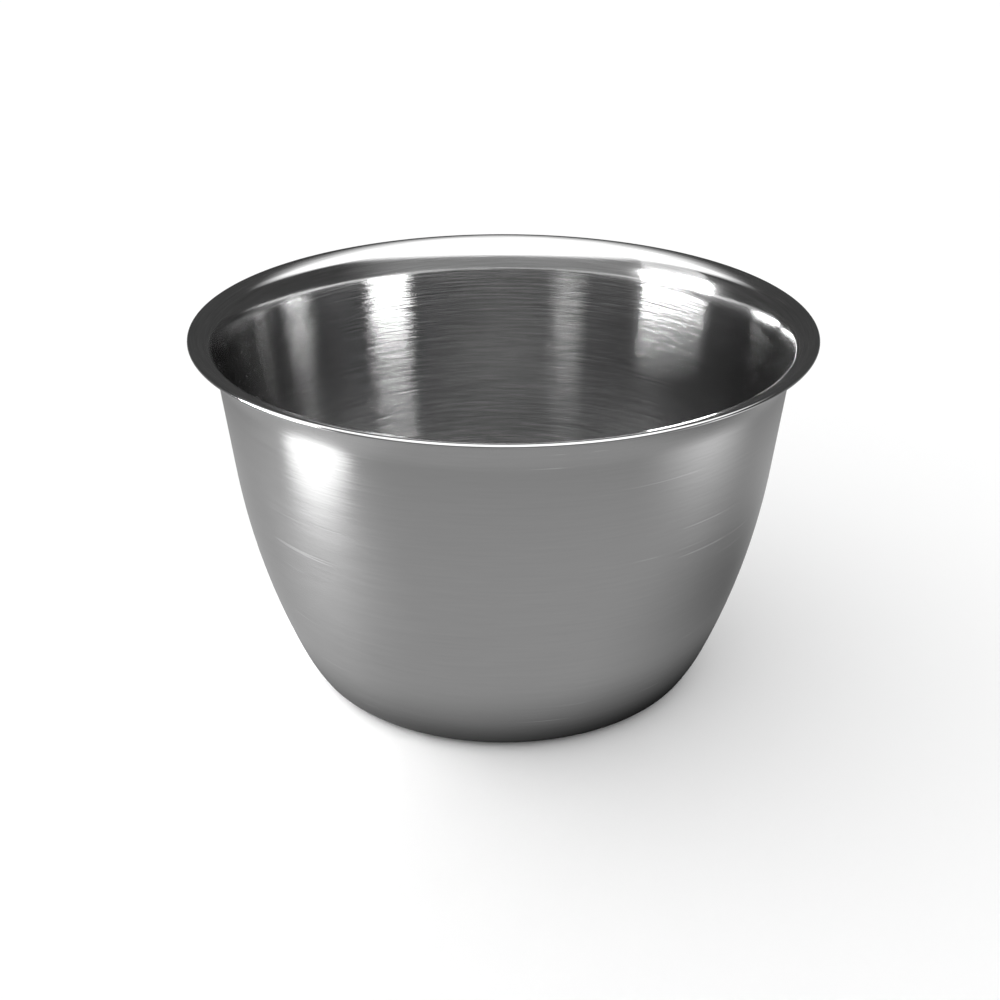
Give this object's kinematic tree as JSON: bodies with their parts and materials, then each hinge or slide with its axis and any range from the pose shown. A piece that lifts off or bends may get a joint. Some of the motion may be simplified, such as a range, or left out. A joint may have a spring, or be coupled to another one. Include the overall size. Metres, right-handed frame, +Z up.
{
  "type": "solution cup",
  "caption": "Round one-piece stainless steel cup with deep curved sides, a flat base and a flared rim, for holding antiseptic or other solutions.",
  "frame": {"origin": "centre of the base, in the plane the cup stands on", "axes": "+Z up along the cup's axis of symmetry; X and Y are equal, because the cup is round"},
  "size_m": [0.1174, 0.1174, 0.07],
  "materials": {
    "steel": "satin, brushed in rings round the axis, with a brighter inside and rim"
  },
  "bodies": {
    "root": {"cup": "steel"}
  },
  "joints": []
}
